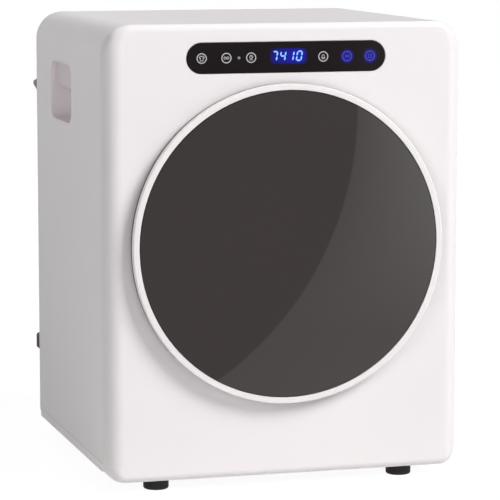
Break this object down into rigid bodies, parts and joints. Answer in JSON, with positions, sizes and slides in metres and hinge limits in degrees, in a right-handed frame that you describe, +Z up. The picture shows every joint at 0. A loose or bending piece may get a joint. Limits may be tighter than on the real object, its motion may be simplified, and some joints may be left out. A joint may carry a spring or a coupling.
{
  "type": "vented tumble dryer",
  "caption": "Compact vented tumble dryer with a round dark glass door on a hidden hinge, touch panel with number display, belt-driven drum and fan, pull-out lint filter and rear exhaust.",
  "frame": {"origin": "on the floor, under the middle of the whole dryer's box, with the door's front as far ahead of it as the wall hooks' tips are behind it", "axes": "+X to the right of someone who faces the door, +Y from the door to the back, +Z up"},
  "size_m": [0.49, 0.479, 0.616],
  "materials": {
    "white_sheet": "satin enamel",
    "white_moulding": "smooth satin gloss",
    "tinted_glass": "polished, dark brown tint",
    "black_window": "high gloss",
    "board": "matt laminate",
    "dark_moulding": "fine texture",
    "grey_moulding": "fine texture",
    "pocket_moulding": "fine texture",
    "drum_steel": "fine brushed",
    "galvanised": "galvanised, faint spangle",
    "axle_steel": "ground",
    "screw_steel": "zinc plated",
    "light_alloy": "as cast",
    "heater_alloy": "plain",
    "motor_steel": "semi gloss",
    "black_rubber": "matt",
    "felt": "pressed wool",
    "mesh": "woven nylon screen",
    "nylon": "plain nylon",
    "display": "clear window over number cells"
  },
  "bodies": {
    "cabinet": {"axle_spider": "light_alloy", "base_tray": "white_sheet", "cabinet_screws": "screw_steel", "cabinet_wrap": "white_sheet", "capacitor": "light_alloy", "control_fascia": "black_window", "control_tray": "grey_moulding", "cord_gland": "black_rubber", "display_module": "display", "door_catch": "nylon", "drum_axle": "axle_steel", "drum_belt": "black_rubber", "exhaust_spigot": "grey_moulding", "fan_belt": "black_rubber", "fan_housing": "dark_moulding", "foot_front_left": "black_rubber", "foot_front_right": "black_rubber", "foot_rear_left": "black_rubber", "foot_rear_right": "black_rubber", "foot_screws": "screw_steel", "front_bulkhead": "galvanised", "front_felt": "felt", "front_panel": "white_moulding", "glide_pads": "nylon", "heater_box": "galvanised", "heater_core": "heater_alloy", "hinge_bracket": "galvanised", "left_handle_cup": "pocket_moulding", "motor_bracket": "galvanised", "motor_clamps": "galvanised", "motor_housing": "motor_steel", "power_box": "dark_moulding", "rear_bulkhead": "galvanised", "rear_felt": "felt", "rear_panel": "galvanised", "right_handle_cup": "pocket_moulding", "thermostats": "nylon", "touch_board": "board", "wall_buffers": "black_rubber", "wall_hooks": "screw_steel"},
    "door": {"door_ring": "white_moulding", "door_glass": "tinted_glass", "door_inner_frame": "dark_moulding", "door_seal": "black_rubber", "door_striker": "nylon", "door_screws": "screw_steel", "hinge_pin": "axle_steel"},
    "drum": {"drum_shell": "drum_steel", "drum_back": "drum_steel", "drum_lifter_1": "grey_moulding", "drum_lifter_2": "grey_moulding", "drum_lifter_3": "grey_moulding", "drum_hub": "light_alloy"},
    "lint_filter": {"filter_cover": "grey_moulding", "filter_mesh": "mesh"},
    "motor_rotor": {"motor_shaft": "axle_steel", "drum_drive_pulley": "light_alloy", "fan_drive_pulley": "light_alloy"},
    "fan": {"fan_wheel": "dark_moulding", "fan_pulley": "dark_moulding"}
  },
  "joints": [
    {"name": "door_swing", "type": "hinge", "parent": "cabinet", "child": "door", "pos_m": [-0.2055, -0.231, 0.3265], "axis": [0, 0, -1], "range_deg": [0, 110]},
    {"name": "drum_turn", "type": "hinge", "parent": "cabinet", "child": "drum", "pos_m": [0, 0, 0.3265], "axis": [0, 1, 0], "continuous": true},
    {"name": "filter_pull", "type": "slide", "parent": "drum", "child": "lint_filter", "axis": [0, -1, 0], "range_m": [0, 0.22]},
    {"name": "motor_turn", "type": "hinge", "parent": "cabinet", "child": "motor_rotor", "pos_m": [0.15, 0, 0.066], "axis": [0, 1, 0], "continuous": true},
    {"name": "fan_turn", "type": "hinge", "parent": "cabinet", "child": "fan", "pos_m": [0, 0, 0.3265], "axis": [0, 1, 0], "continuous": true}
  ],
  "couplings": [
    {"joint": "motor_turn", "follows": "drum_turn", "ratio": 24.278},
    {"joint": "fan_turn", "follows": "drum_turn", "ratio": 41.272}
  ]
}
